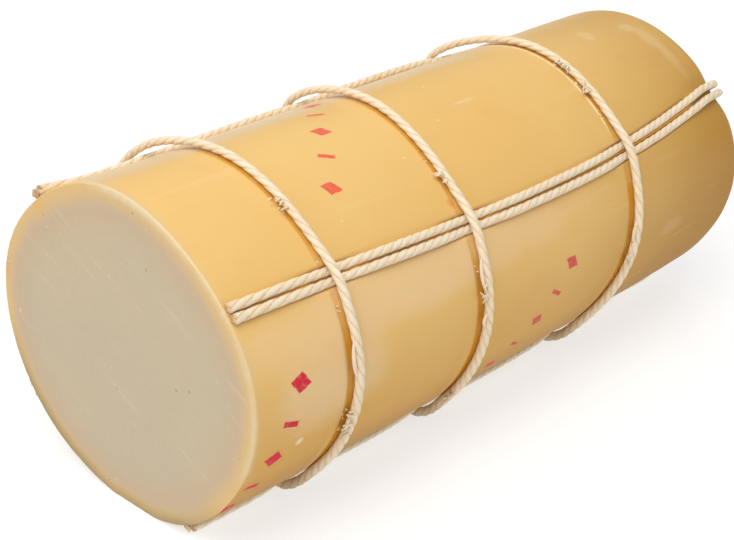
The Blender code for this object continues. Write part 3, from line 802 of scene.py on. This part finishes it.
def makeCheese():
    rimAngles = columnAngles(0.0)
    count = len(rimAngles)
    rimRadius, unmarked = cheeseSurface(np.full(count, 0.0), rimAngles)
    rows = []

    def addRow(points, fromRim, burr, marks):
        rows.append((points, {"fromRim": fromRim, "burr": burr, **marks}))

    # The knife left a rough pale burr on the rim from the top round to the front; part of its paleness is a
    # painted highlight along the edge
    circle = np.stack([np.cos(rimAngles), np.sin(rimAngles), np.zeros(count)], -1)
    rough = lumpy(circle, 26.0, 0.0) * 0.6 + lumpy(circle + np.array((0, 0, 3)), 70.0, 0.0) * 0.4
    middle, full, gone = cheeseForm["burrAngles"]
    degrees = np.degrees(angleBetween(rimAngles, math.radians(middle)))
    strongest, halfAngle = cheeseForm["burrTop"]
    usual, more, chance = cheeseForm["burrShares"]
    burr = usual + more * bell(degrees - strongest, halfAngle) + chance * rough
    burr = np.clip((1 - smoothStep(full, gone, np.abs(degrees))) * burr, 0, 1)
    onFace, alongSide = cheeseForm["burrReach"]
    outwards, upwards = (cheeseForm["burr"] * share for share in cheeseForm["burrRise"])
    size, varied = cheeseForm["wornEdge"]
    worn = size * (1 + varied * rough)

    # the face, from its middle out to the rim
    shares = np.sin(np.linspace(0, math.pi / 2, cheeseForm["faceRings"] + 1))[1:-1] * 0.9985
    faceRim = rimRadius - worn
    for share in np.unique(np.round([*shares, 0.985, 0.992, 1.0], 5)):
        near = faceRim - faceRim * share
        raised = burr * bell(near, onFace)
        points = place(np.zeros(count), rimAngles, faceRim * share)
        points[:, 0] += cheeseForm["faceIn"] - outwards * raised
        addRow(points, near, raised, unmarked)
    faceRows = len(rows)

    # the worn edge
    for turn in np.linspace(0, math.pi / 2, 5)[1:-1]:
        radius = faceRim + worn * np.sin(turn) + burr * upwards
        radius = np.minimum(radius, tableLimit(0.0, rimAngles))
        addRow(place(worn * (1 - np.cos(turn)), rimAngles, radius), np.zeros(count), burr, unmarked)

    # the side and the rounded end
    for station in rowStations():
        angles = columnAngles(station)
        here = np.full(count, station)
        if station >= cheeseForm["straightRows"]:
            here = followHoops(station, angles, cheeseForm["rowReach"])
        if np.ptp(here) > 1e-6:
            angles = np.array([columnAngles(value)[index] for index, value in enumerate(here)])
        radius, marks = cheeseSurface(here, angles)
        fade = bell(here, alongSide)
        limit = tableLimit(here, angles)
        top = np.minimum(radius + burr * cheeseForm["burr"] * fade, limit)
        points = place(here, angles, top)
        lumps = lumpy(points, 55.0, 4.0) * 0.6 + lumpy(points, 18.0, 9.0)
        calm = (1 - marks["trough"]) * (1 - np.minimum(marks["groove"], 1)) * smoothStep(0.0, 0.02, here)
        lift = cheeseForm["lumps"] * lumps * calm * endScale(endShare(here) * 0.97)
        addRow(place(here, angles, np.minimum(top + lift, limit)), np.zeros(count), burr * fade, marks)

    middle = place(0.0, 0.0, 0.0) + np.array((cheeseForm["faceIn"], 0, 0))
    tip = place(body["length"], 0.0, 0.0)
    points = np.concatenate([*(points for points, _ in rows), [middle, tip]]) + shift
    grid = np.arange(len(rows) * count).reshape(len(rows), count)
    faces = []
    for near, far in zip(grid, grid[1:]):
        faces += np.stack([near, np.roll(near, -1), np.roll(far, -1), far], -1).tolist()
    cap = len(faces)
    faces += [(a, len(points) - 2, b) for a, b in zip(grid[0], np.roll(grid[0], -1))]
    faces += [(a, b, len(points) - 1) for a, b in zip(grid[-1], np.roll(grid[-1], -1))]
    atEnds = {"fromRim": [0.09, 0]}     # for the middle of the face and the tip
    attributes = {key: np.concatenate([*(values[key] for _, values in rows), atEnds.get(key, [0, 0])])
                  for key in rows[0][1]}
    cheese = addMesh("provolone_body", points, faces, (makeRind(), makeCutFace()), attributes)
    slots = np.zeros(len(faces), np.int32)
    slots[:(faceRows + 1) * count] = 1       # the worn edge is cut cheese as well
    slots[cap:cap + count] = 1
    cheese.data.polygons.foreach_set("material_index", slots)
    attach(cheese, "root")
    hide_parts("cheese")
    print("cheese", len(points), "points", sum(len(face) - 2 for face in faces), "triangles")


# The twine: three strands laid together, with loose fibres
straw = (0.80, 0.50, 0.22)

strandLook = {
    "cream": (0.81, 0.665, 0.470), "light": (0.88, 0.775, 0.605),
    # colour and strength of each layer over them
    "filaments": ((0.90, 0.78, 0.62), 0.20), "tone": ((0.96, 0.88, 0.76), 0.35), "patches": (straw, 0.26),
    # the lay colour is painted shade in the crevices between the strands; the pale colour of the lengthwise
    # twines low down is painted light; the dark brown of the hoops low down is partly an oil stain and partly
    # painted shade
    "lay": (straw, 0.78), "clean": ((0.97, 0.86, 0.64), 0.92), "soaked": ((0.38, 0.24, 0.09), 1.0),
    "cut": ((0.62, 0.38, 0.16), 0.70), "dark": ((0.30, 0.16, 0.06), 0.70),
    "shader": {"Sheen Weight": 0.12, "Sheen Roughness": 0.5, "Subsurface Weight": 0.18,
               "Subsurface Radius": (1.0, 0.75, 0.5), "Subsurface Scale": 0.0014},
    "step": 0.00085, "sides": 14, "fibreRadius": 0.00125,
    "hoop": {"pitch": 0.0210, "strand": 0.00150, "offset": 0.00092, "hairs": 0.9},
    "lengthwise": {"pitch": 0.0165, "strand": 0.00136, "offset": 0.00081, "hairs": 0.8},
    "hoopFullness": (0.95, 0.10, 0.3),      # share of a hoop's thickness: usual, change, its turn from the top
    "fullStart": (0.10, 0.016),         # fuller by the cut: how much, and how far that goes
    "loosePitch": (0.0100, 0.050),      # the lay is longer by this much by the cut, and how far that goes
    # the lay's wandering, each strand's own, how they splay at the ends, and the part that the cut darkens
    "wander": (38, 0.22), "own": (55, 0.10, 0.06), "splay": (0.12, 0.0022), "cutLength": (0.0001, 0.0010),
    "ridges": ((4, 0.030), (7, 0.022)), "flat": (0.10, 0.05), "hairsPerMetre": 420, "endHairs": (4, 14),
    # loose yarns beside a hoop, from angle to angle, and frayed places: angle, how many fibres
    "yarns": {0: ((76, 88), (99, 105)), 1: ((71, 82), (88, 93)), 2: ((84, 92),)},
    "yarn": {"aside": 0.0037, "thickness": 0.00090, "out": 0.0006, "lay": 0.15, "sides": 8},
    "frays": {0: ((34, 5), (101, 9), (107, 10)), 1: ((45, 5), (81, 6), (128, 7)),
              2: ((36, 6), (24, 6), (96, 6))},
    "fray": {"scatter": (-4, 5), "aside": (0.7, 1.2), "along": (-0.7, 0.7), "curlOut": (-0.3, 0.3),
             "root": (0.6, 1.8), "length": (0.0023, 0.0042), "thickness": (0.00050, 0.00090),
             "lay": 0.1, "sides": 5},
    "hair": {"length": (0.0007, 0.0009, 0.0042), "along": (0.5, 1.4), "aside": (-0.9, 0.9),
             "lift": (0.10, 0.75), "curl": (-0.6, 0.6), "curlOut": (-0.5, 0.3),
             "thickness": (0.000035, 0.000085), "root": (0.86, 0.97), "sides": 3},
}


def makeTwineFinish():
    f = Finish("twine_fibre")
    where = f.position()
    z = f.axes(where)[2]
    fibre, lay, cutEnd = f.read("fibre", "Vector"), f.read("lay"), f.read("cutEnd")
    tied = f.read("tied")       # 1 on a hoop, 0 on a lengthwise twine
    yarns = f.cloud(f.stretched(fibre, (1.0, 1.0, 0.05)), 2300.0, 3.0, 0.65)
    filaments = f.cloud(f.stretched(fibre, (1.0, 1.0, 0.02)), 6000.0, 2.0, 0.6)
    tone = f.cloud(where, 70.0)
    patches = f.cloud(where, 190.0)
    height = z + (tone - 0.5) * 0.006
    # painted light: the lengthwise twines paler low down, where they lie in shade; the hoops darker low down,
    # partly an oil stain and partly painted shade
    clean = (1.0 - height.ramp(0.006, 0.022)) * (1.0 - tied)
    soaked = tied * (1.0 - height.ramp(0.005, 0.032)) * (0.66 + lay.ramp(0.2, 0.9) * 0.28)
    colour = f.colour(yarns.ramp(0.30, 0.68), strandLook["cream"], strandLook["light"])
    colour = f.layers(colour, strandLook, "MULTIPLY", filaments=1.0 - filaments.ramp(0.32, 0.62),
                      tone=tone.ramp(0.45, 0.75))
    colour = f.layers(colour, strandLook, patches=patches.ramp(0.50, 0.70), lay=lay.ramp(0.08, 0.80),
                      clean=clean, soaked=soaked, cut=cutEnd, dark=cutEnd * patches.ramp(0.50, 0.60))
    f.set({"Base Color": colour, "Roughness": yarns * 0.2 + 0.60,
           "Normal": f.relief((yarns, 0.00035, 0.65), (filaments, 0.00012, 0.7)), **strandLook["shader"]})
    return f


def headings(line, closed=False):
    return unit(np.roll(line, -1, 0) - np.roll(line, 1, 0) if closed else np.gradient(line, axis=0))


def alongRoute(route, closed=False):
    # Directions along a route, and square to it, which turn as little as they can
    ahead = headings(route, closed)
    firsts = []
    first = np.cross(ahead[0], (0.31, 0.82, 0.47))
    for direction in ahead:
        first = unit(first - direction * np.dot(first, direction))
        firsts.append(first)
    firsts = np.array(firsts)
    if closed:
        # share out what is left over, so the ends meet
        last = unit(firsts[-1] - ahead[0] * np.dot(firsts[-1], ahead[0]))
        left = math.atan2(np.dot(last, np.cross(ahead[0], firsts[0])), np.dot(last, firsts[0]))
        turns = -left * np.arange(len(route))[:, None] / len(route)
        firsts = firsts * np.cos(turns) + np.cross(ahead, firsts) * np.sin(turns)
    return ahead, firsts


def addTube(parts, centres, ahead, first, radii, spin, fibreStart, lay, closed=False, ends=0.0):
    # A tube along the centres, with a radius for each of its points
    count, sides = radii.shape
    second = np.cross(ahead, first)
    around = fullTurn * np.arange(sides) / sides
    cos, sin = np.cos(around)[None, :, None], np.sin(around)[None, :, None]
    ring = centres[:, None] + radii[..., None] * (first[:, None] * cos + second[:, None] * sin)
    index = parts["total"] + np.arange(count * sides).reshape(count, sides)
    for near, far in zip(index, np.roll(index, -1, 0) if closed else index[1:]):
        parts["faces"] += np.stack([near, np.roll(near, -1), np.roll(far, -1), far], -1).tolist()
    if not closed:
        parts["faces"] += [index[0][::-1].tolist(), index[-1].tolist()]
    phase = around[None, :] + spin[:, None]
    length = np.concatenate([[0.0], np.cumsum(np.linalg.norm(np.diff(centres, axis=0), axis=1))])
    fibre = np.stack([np.cos(phase) * strandLook["fibreRadius"], np.sin(phase) * strandLook["fibreRadius"],
                      np.broadcast_to(length[:, None] + fibreStart, phase.shape)], -1)
    parts["points"].append(ring.reshape(-1, 3))
    parts["fibre"].append(fibre.reshape(-1, 3))
    parts["lay"].append((lay(ring) if callable(lay) else np.full(phase.shape, lay)).reshape(-1))
    parts["cutEnd"].append(np.repeat(np.broadcast_to(ends, count), sides))
    parts["total"] += count * sides


def addFibre(parts, line, thickness, sides, spin, fibreStart, lay, out=None):
    ahead, first = alongRoute(line)
    if out is not None:
        first = unit(np.cross(ahead, out))
    addTube(parts, line, ahead, first, np.repeat(thickness[:, None], sides, 1), spin, fibreStart, lay)


def addLoose(parts, hoop, route, ahead, angles, outer, dice, seed):
    # Yarns that have come out of a hoop's lay, then its frayed places
    outwards = unit(route - route.mean(0))
    look = strandLook["yarn"]
    for start, end in np.radians(strandLook["yarns"][hoop]):
        away = angleBetween(angles, (start + end) / 2)
        picked = np.flatnonzero(np.abs(away) < (end - start) / 2)
        picked = picked[np.argsort(away[picked])]
        share = np.linspace(0, 1, len(picked))
        bowed = (np.sin(math.pi * share) ** 0.4)[:, None]
        line = route[picked] - np.array((look["aside"], 0, 0)) * bowed + outwards[picked] * look["out"] * bowed
        thickness = look["thickness"] * np.sin(math.pi * (0.06 + 0.88 * share)) ** 0.5
        addFibre(parts, line, thickness, look["sides"], share * 4, seed * 0.3 + start, look["lay"])
    look, steps = strandLook["fray"], np.linspace(0, 1, 6)
    for frayed, fibres in strandLook["frays"][hoop]:
        spot = int(np.argmin(np.abs(angleBetween(angles, math.radians(frayed)))))
        for _ in range(fibres):
            here = (spot + dice.integers(*look["scatter"])) % len(route)
            lean = np.array((-1.0, 0, 0)) * dice.uniform(*look["aside"])
            lean = lean + ahead[here] * dice.uniform(*look["along"])
            curl = ahead[here] * dice.uniform(*look["along"]) + outwards[here] * dice.uniform(*look["curlOut"])
            root = outwards[here] * dice.uniform(*look["root"]) * 0.001
            root = route[here] - np.array((outer * 0.8, 0, 0)) + root
            line = root + dice.uniform(*look["length"]) * (np.outer(steps, lean) + np.outer(steps ** 2, curl))
            thickness = dice.uniform(*look["thickness"]) * (1 - 0.5 * steps)
            addFibre(parts, line, thickness, look["sides"], steps, seed * 0.3 + frayed, look["lay"])


def addHair(parts, middle, ahead, first, second, outer, dice, seed):
    # One loose fibre that stands off the twine
    look, steps = strandLook["hair"], np.linspace(0, 1, 5)
    angle = dice.uniform(0, fullTurn)
    out = first * math.cos(angle) + second * math.sin(angle)
    side = np.cross(ahead, out)
    shortest, usual, longest = look["length"]
    length = min(shortest + dice.exponential(usual), longest)
    lean = ahead * dice.choice((-1, 1)) * dice.uniform(*look["along"]) + side * dice.uniform(*look["aside"])
    lean = lean + out * dice.uniform(*look["lift"])
    curl = side * dice.uniform(*look["curl"]) + out * dice.uniform(*look["curlOut"])
    thickness = dice.uniform(*look["thickness"]) * (1 - 0.8 * steps)
    root = middle + out * outer * dice.uniform(*look["root"])
    line = root + length * (np.outer(steps, lean) + np.outer(steps ** 2, curl)) / 1.3
    addFibre(parts, line, thickness, look["sides"], steps * 0, seed * 0.13 + angle, 0.0, out)


def wavering(metres, scale, seed, row=0):
    return np.array([noise.noise(Vector((m * scale, seed, row))) for m in metres])


def layStrands(name, points, finish, seed, hoop=None):
    dice = np.random.default_rng(seed)
    closed = hoop is not None
    look, step = strandLook["hoop" if closed else "lengthwise"], strandLook["step"]
    route = smoothRoute(points, closed, step)
    ahead, first = alongRoute(route, closed)
    second = np.cross(ahead, first)
    count = len(route)
    metres, total = np.arange(count) * step, count * step
    fromEnd = np.minimum(metres, metres[::-1])
    loosened, splayed = strandLook["splay"]
    if closed:
        # thinner where it is stretched over the top, fuller underneath
        angles = np.arctan2(-route[:, 1], route[:, 2] - body["axisHeight"])
        usual, change, turned = strandLook["hoopFullness"]
        fullness = usual - change * np.cos(angles + turned)
        phase = -fullTurn * round(total / look["pitch"]) * np.arange(count) / count       # S laid
        calm = np.sin(np.linspace(0, math.pi, count)) ** 0.5        # so that a ring's ends meet
        ends = splay = np.zeros(count)
    else:
        more, reach = strandLook["fullStart"]
        fullness = 1 + more * bell(route[:, 0], reach)
        longer, reach = strandLook["loosePitch"]
        phase = -fullTurn * np.cumsum(step / (look["pitch"] + longer * bell(route[:, 0], reach)))
        calm = 1.0
        ends = 1 - smoothStep(*strandLook["cutLength"], fromEnd)
        splay = np.exp(-fromEnd / splayed)
    parts = {"points": [], "faces": [], "fibre": [], "lay": [], "cutEnd": [], "total": 0}
    outer = look["offset"] + look["strand"]
    around = fullTurn * np.arange(strandLook["sides"]) / strandLook["sides"]
    proud, sunk = strandLook["flat"]
    flattened = 1 + proud * np.sin(around)[None, :] ** 2 - sunk * np.cos(around)[None, :] ** 2
    waves, swing = strandLook["wander"]
    wander = wavering(metres, waves, seed) * swing * calm
    waves, ownTurn, ownSize = strandLook["own"]
    (few, large), (many, small) = strandLook["ridges"]

    def layDepth(ring):
        # 0 on the twine's outside, 1 deep between the strands, where the lay colour is painted shade
        out = np.linalg.norm(ring - route[:, None], axis=2)
        return np.clip((outer * 0.97 * fullness[:, None] - out) / (outer * 0.22), 0, 1)

    for strand in range(3):
        own = wavering(metres, waves, seed + 7 * strand, 5) * calm
        turn = phase + fullTurn * strand / 3 + wander + own * ownTurn
        loose = loosened * splay * (1 + 0.4 * strand - 0.4)
        offset = look["offset"] * fullness * (1 + ownSize * own + loose)
        out = first * np.cos(turn)[:, None] + second * np.sin(turn)[:, None]
        centres = route + out * offset[:, None]
        heading = headings(centres, closed)
        outward = unit(out - heading * (out * heading).sum(1)[:, None])
        spin = -turn * 0.95
        twist = around[None, :] + spin[:, None]
        ridged = large * np.sin(few * twist + own[:, None] * 3) + small * np.sin(many * twist + 2.0 * strand)
        radii = look["strand"] * fullness[:, None] * (1 + ownSize * own[:, None] + ridged) * flattened
        fibreStart = seed * 0.13 + strand * 0.71
        addTube(parts, centres, heading, outward, radii, spin, fibreStart, layDepth, closed, ends)

    if closed:
        addLoose(parts, hoop, route, ahead, angles, outer, dice, seed)
    spots = dice.integers(0, count, int(total * strandLook["hairsPerMetre"] * look["hairs"]))
    if not closed:
        near, extra = strandLook["endHairs"]
        ends = [dice.integers(0, near, extra), count - 1 - dice.integers(0, near, extra)]
        spots = np.concatenate([spots, *ends])
    for spot in spots:
        addHair(parts, route[spot], ahead[spot], first[spot], second[spot], outer * fullness[spot], dice, seed)

    points = np.concatenate(parts["points"]) + shift
    points[:, 2] = np.maximum(points[:, 2], 0.0001)
    numbers = {key: np.concatenate(parts[key]) for key in ("lay", "cutEnd")}
    piece = addMesh(name + "_strands", points, parts["faces"], (finish,),
                    {**numbers, "tied": np.full(len(points), float(closed))},
                    {"fibre": np.concatenate(parts["fibre"])})
    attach(piece, "root")
    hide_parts(name)
    print(name, round(total, 3), "m", sum(len(face) - 2 for face in parts["faces"]), "triangles")


def makeTwines():
    finish = makeTwineFinish()
    for hoop in range(3):
        layStrands("twine_hoop_%d" % (hoop + 1), hoopCentres[hoop], finish, 11 + hoop, hoop)
    crossed = endLine("front", "back")
    for number, side in ((1, -1), (2, 1)):
        for start, end, over in (("front", "back", None), ("top", "under", crossed)):
            points = sidePoints(start, side) + endPoints(start, end, side, over) + sidePoints(end, -side)[::-1]
            label = start + "_" + end
            layStrands("twine_%s_%d" % (label, number), points, finish, 21 + 5 * number + len(label))


# Crumbs of cheese that the hoops have rubbed off
crumbLook = {
    "colour": (0.87, 0.74, 0.49), "shade": (0.78, 0.55, 0.25),
    "byHoop": 26, "size": (0.0002, 0.0006), "away": 0.0004,
    # clusters that show: hoop, angle, side, how many
    "seen": ((0, 30.5, -1, 8), (0, 34.0, -1, 6), (0, 31.0, 1, 6), (0, 52.0, -1, 3), (0, 107.5, -1, 6),
             (0, 100.4, -1, 5), (1, 22.3, 1, 5), (1, 38.0, -1, 4), (2, 30.2, -1, 6), (2, 19.5, -1, 5),
             (2, 45.0, -1, 4), (1, 75.0, -1, 3), (0, 66.0, -1, 3)),
    "spread": (1.3, 0.0010), "seenSize": (0.0003, 0.0009),      # degrees along the hoop, metres away from it
    "uneven": (0.55, 1.15), "squashed": (0.6, 1.1), "lowest": 0.004,
}


def roundedCrumb():
    # Corners and faces of a solid with twenty sides
    golden = (1 + 5 ** 0.5) / 2
    corners = np.array([(0, a, b * golden) for a in (-1, 1) for b in (-1, 1)])
    corners = unit(np.concatenate([corners, np.roll(corners, 1, 1), np.roll(corners, 2, 1)]))
    near = np.linalg.norm(corners[0] - corners[1:], axis=1).min() * 1.1
    triangles = []
    for trio in itertools.combinations(range(12), 3):
        a, b, c = corners[list(trio)]
        if max(np.linalg.norm(b - a), np.linalg.norm(c - b), np.linalg.norm(c - a)) < near:
            flip = np.dot(np.cross(b - a, c - a), a) < 0
            triangles.append((trio[0], trio[2], trio[1]) if flip else trio)
    return corners, triangles


def makeCrumbs():
    f = Finish("cheese_crumbs")
    grain = f.cloud(f.position(), 900.0, 3.0, 0.6)
    f.set({"Base Color": f.colour(grain.ramp(0.35, 0.65), crumbLook["shade"], crumbLook["colour"]),
           "Roughness": grain * 0.2 + 0.5, "Normal": f.relief((grain, 0.0002, 0.6))})
    dice = np.random.default_rng(77)
    turned, spread = crumbLook["spread"]
    places = []
    for hoop, angle, side, count in crumbLook["seen"]:
        for _ in range(count):
            places.append((hoop, math.radians(dice.normal(angle, turned)), side,
                           dice.uniform(*crumbLook["seenSize"]), abs(dice.normal(0, spread))))
    for hoop in range(3):
        for _ in range(crumbLook["byHoop"]):
            places.append((hoop, dice.uniform(0, fullTurn), dice.choice((-1, 1)),
                           dice.uniform(*crumbLook["size"]), dice.uniform(0, crumbLook["away"])))
    corners, triangles = roundedCrumb()
    points, faces = [], []
    for hoop, angle, side, size, away in places:
        station = hoopStation(hoop, angle) + side * (twine["hoop"] + size * 0.3 + away)
        radius, _ = cheeseSurface(np.array([station]), np.array([angle]))
        centre = place(station, angle, radius[0] + size * 0.35)
        if centre[2] < crumbLook["lowest"]:
            continue
        shape = corners * dice.uniform(*crumbLook["uneven"], (12, 1))
        shape = shape * dice.uniform(*crumbLook["squashed"], 3) * size
        faces += [tuple(len(points) * 12 + index for index in triangle) for triangle in triangles]
        points.append(centre + shape)
    piece = addMesh("cheese_crumbs", np.concatenate(points) + shift, faces, (f,), smooth=False)
    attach(piece, "root")
    print("crumbs", len(points))


# Floor, lights and camera
studio = {
    "floor": ((0.36, 0.36, 0.36), (0.38, 0.38, 0.38)), "floorHalf": 9,
    "floorShader": {"Roughness": 0.9, "Emission Color": (1.0, 1.0, 1.0), "Emission Strength": 0.66},
    # the sky: colour, strength low down and overhead, dimmer along x and y
    "sky": (1.0, 1.0, 1.0), "skyStrength": (0.27, 0.95), "skyLean": (0.36, -0.34),
    "lights": {
        "key_light": {"at": (-0.75, -0.50, 1.60), "size": 1.4, "power": 17.5, "colour": (1.0, 0.985, 0.96)},
        "fill_light": {"at": (-1.5, 0.5, 0.8), "size": 1.2, "power": 2.0, "colour": (1.0, 0.99, 0.98)},
    },
    "lit": (0, 0, 0.07),
}

camera = {
    "azimuth": -44.66, "elevation": 27.51, "roll": -0.67, "focal": 1792.0, "depth": 0.7992,
    "facePixel": (121.61, 357.66), "width": 734, "height": 540, "sensor": 36.0,
}


def makeStudio():
    scene = bpy.context.scene
    f = Finish("studio_floor")
    f.set({"Base Color": f.colour(f.cloud(f.position(), 40.0), *studio["floor"]), **studio["floorShader"]})
    half = studio["floorHalf"]
    corners = [(-half, -half, 0), (half, -half, 0), (half, half, 0), (-half, half, 0)]
    floor = addMesh("studio_floor", corners, [(0, 1, 2, 3)], (f,), smooth=False)
    sky = Sky("studio")
    along, across, up = sky.axes(sky.position("Generated"))
    low, overhead = studio["skyStrength"]
    leanX, leanY = studio["skyLean"]
    strength = (up.ramp(0.0, 1.0) * (overhead - low) + low) * (1.0 - along * leanX - across * leanY)
    sky.set({"Color": studio["sky"], "Strength": strength})
    for name, look in studio["lights"].items():
        light = bpy.data.lights.new(name, "AREA")
        light.shape = "DISK"
        light.size = look["size"]
        light.energy = look["power"]
        light.color = look["colour"]
        lamp = bpy.data.objects.new(name, light)
        scene.collection.objects.link(lamp)
        lamp.location = look["at"]
        lamp.rotation_euler = (Vector(studio["lit"]) - Vector(look["at"])).to_track_quat("-Z", "Y").to_euler()
    scene.view_settings.view_transform = "Standard"
    print("floor and lights")


def makeCamera():
    azimuth, elevation, roll = (math.radians(camera[key]) for key in ("azimuth", "elevation", "roll"))
    right = Vector((math.cos(azimuth), math.sin(azimuth), 0))
    ahead = Vector((-math.sin(azimuth) * math.cos(elevation), math.cos(azimuth) * math.cos(elevation),
                    -math.sin(elevation)))
    up = right.cross(ahead)
    right, up = right * math.cos(roll) + up * math.sin(roll), up * math.cos(roll) - right * math.sin(roll)
    across = (camera["facePixel"][0] - camera["width"] / 2) / camera["focal"] * camera["depth"]
    above = -(camera["facePixel"][1] - camera["height"] / 2) / camera["focal"] * camera["depth"]
    face = Vector(shift) + Vector((0, 0, body["axisHeight"]))
    lens = bpy.data.cameras.new("camera")
    lens.sensor_width = camera["sensor"]
    lens.lens = camera["focal"] / camera["width"] * camera["sensor"]
    lens.clip_start = 0.01
    holder = bpy.data.objects.new("camera", lens)
    bpy.context.scene.collection.objects.link(holder)
    turned = Matrix((right, up, -ahead)).transposed().to_4x4()
    at = face - right * across - up * above - ahead * camera["depth"]
    holder.matrix_world = Matrix.Translation(at) @ turned
    bpy.context.scene.camera = holder
    print("camera at", [round(value, 4) for value in at])


makeCamera()
makeStudio()
makeCheese()
makeTwines()
makeCrumbs()
